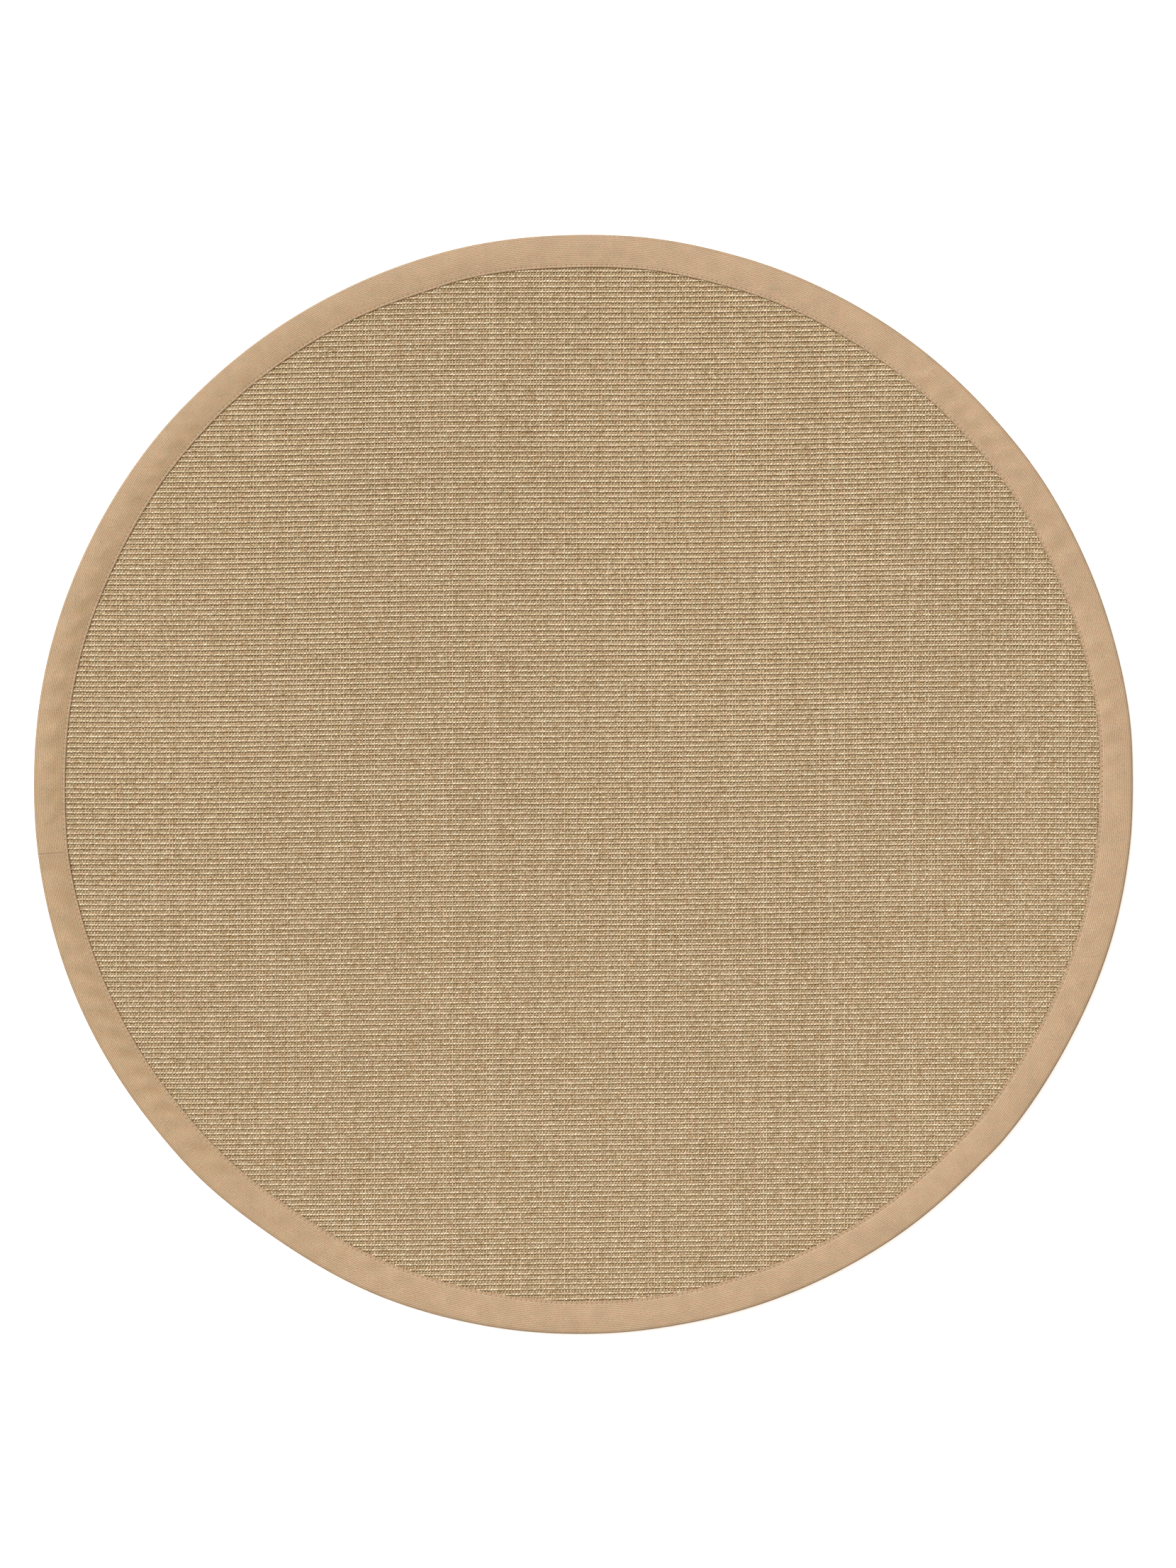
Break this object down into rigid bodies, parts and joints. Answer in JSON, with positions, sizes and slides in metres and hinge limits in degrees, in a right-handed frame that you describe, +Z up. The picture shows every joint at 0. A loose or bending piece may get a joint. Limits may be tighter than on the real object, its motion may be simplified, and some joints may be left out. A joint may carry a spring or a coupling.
{
  "type": "round sisal rug",
  "caption": "Round flat rug of ribbed, woven sisal with a wide cotton tape binding folded over its edge; lies loose on a floor.",
  "frame": {"origin": "centre of the rug's underside, on the floor", "axes": "+Z up out of the floor; +X along the ribs, to the picture's right; +Y towards the picture's top"},
  "size_m": [1.4984, 1.4984, 0.0076],
  "materials": {
    "sisal": "coarse natural sisal yarn in ribbed rows of small loops, dull",
    "cotton_tape": "fine cotton twill tape, matt, lightly puckered along its seam"
  },
  "bodies": {
    "root": {"sisal_field": "sisal", "binding_tape": "cotton_tape"}
  },
  "joints": []
}
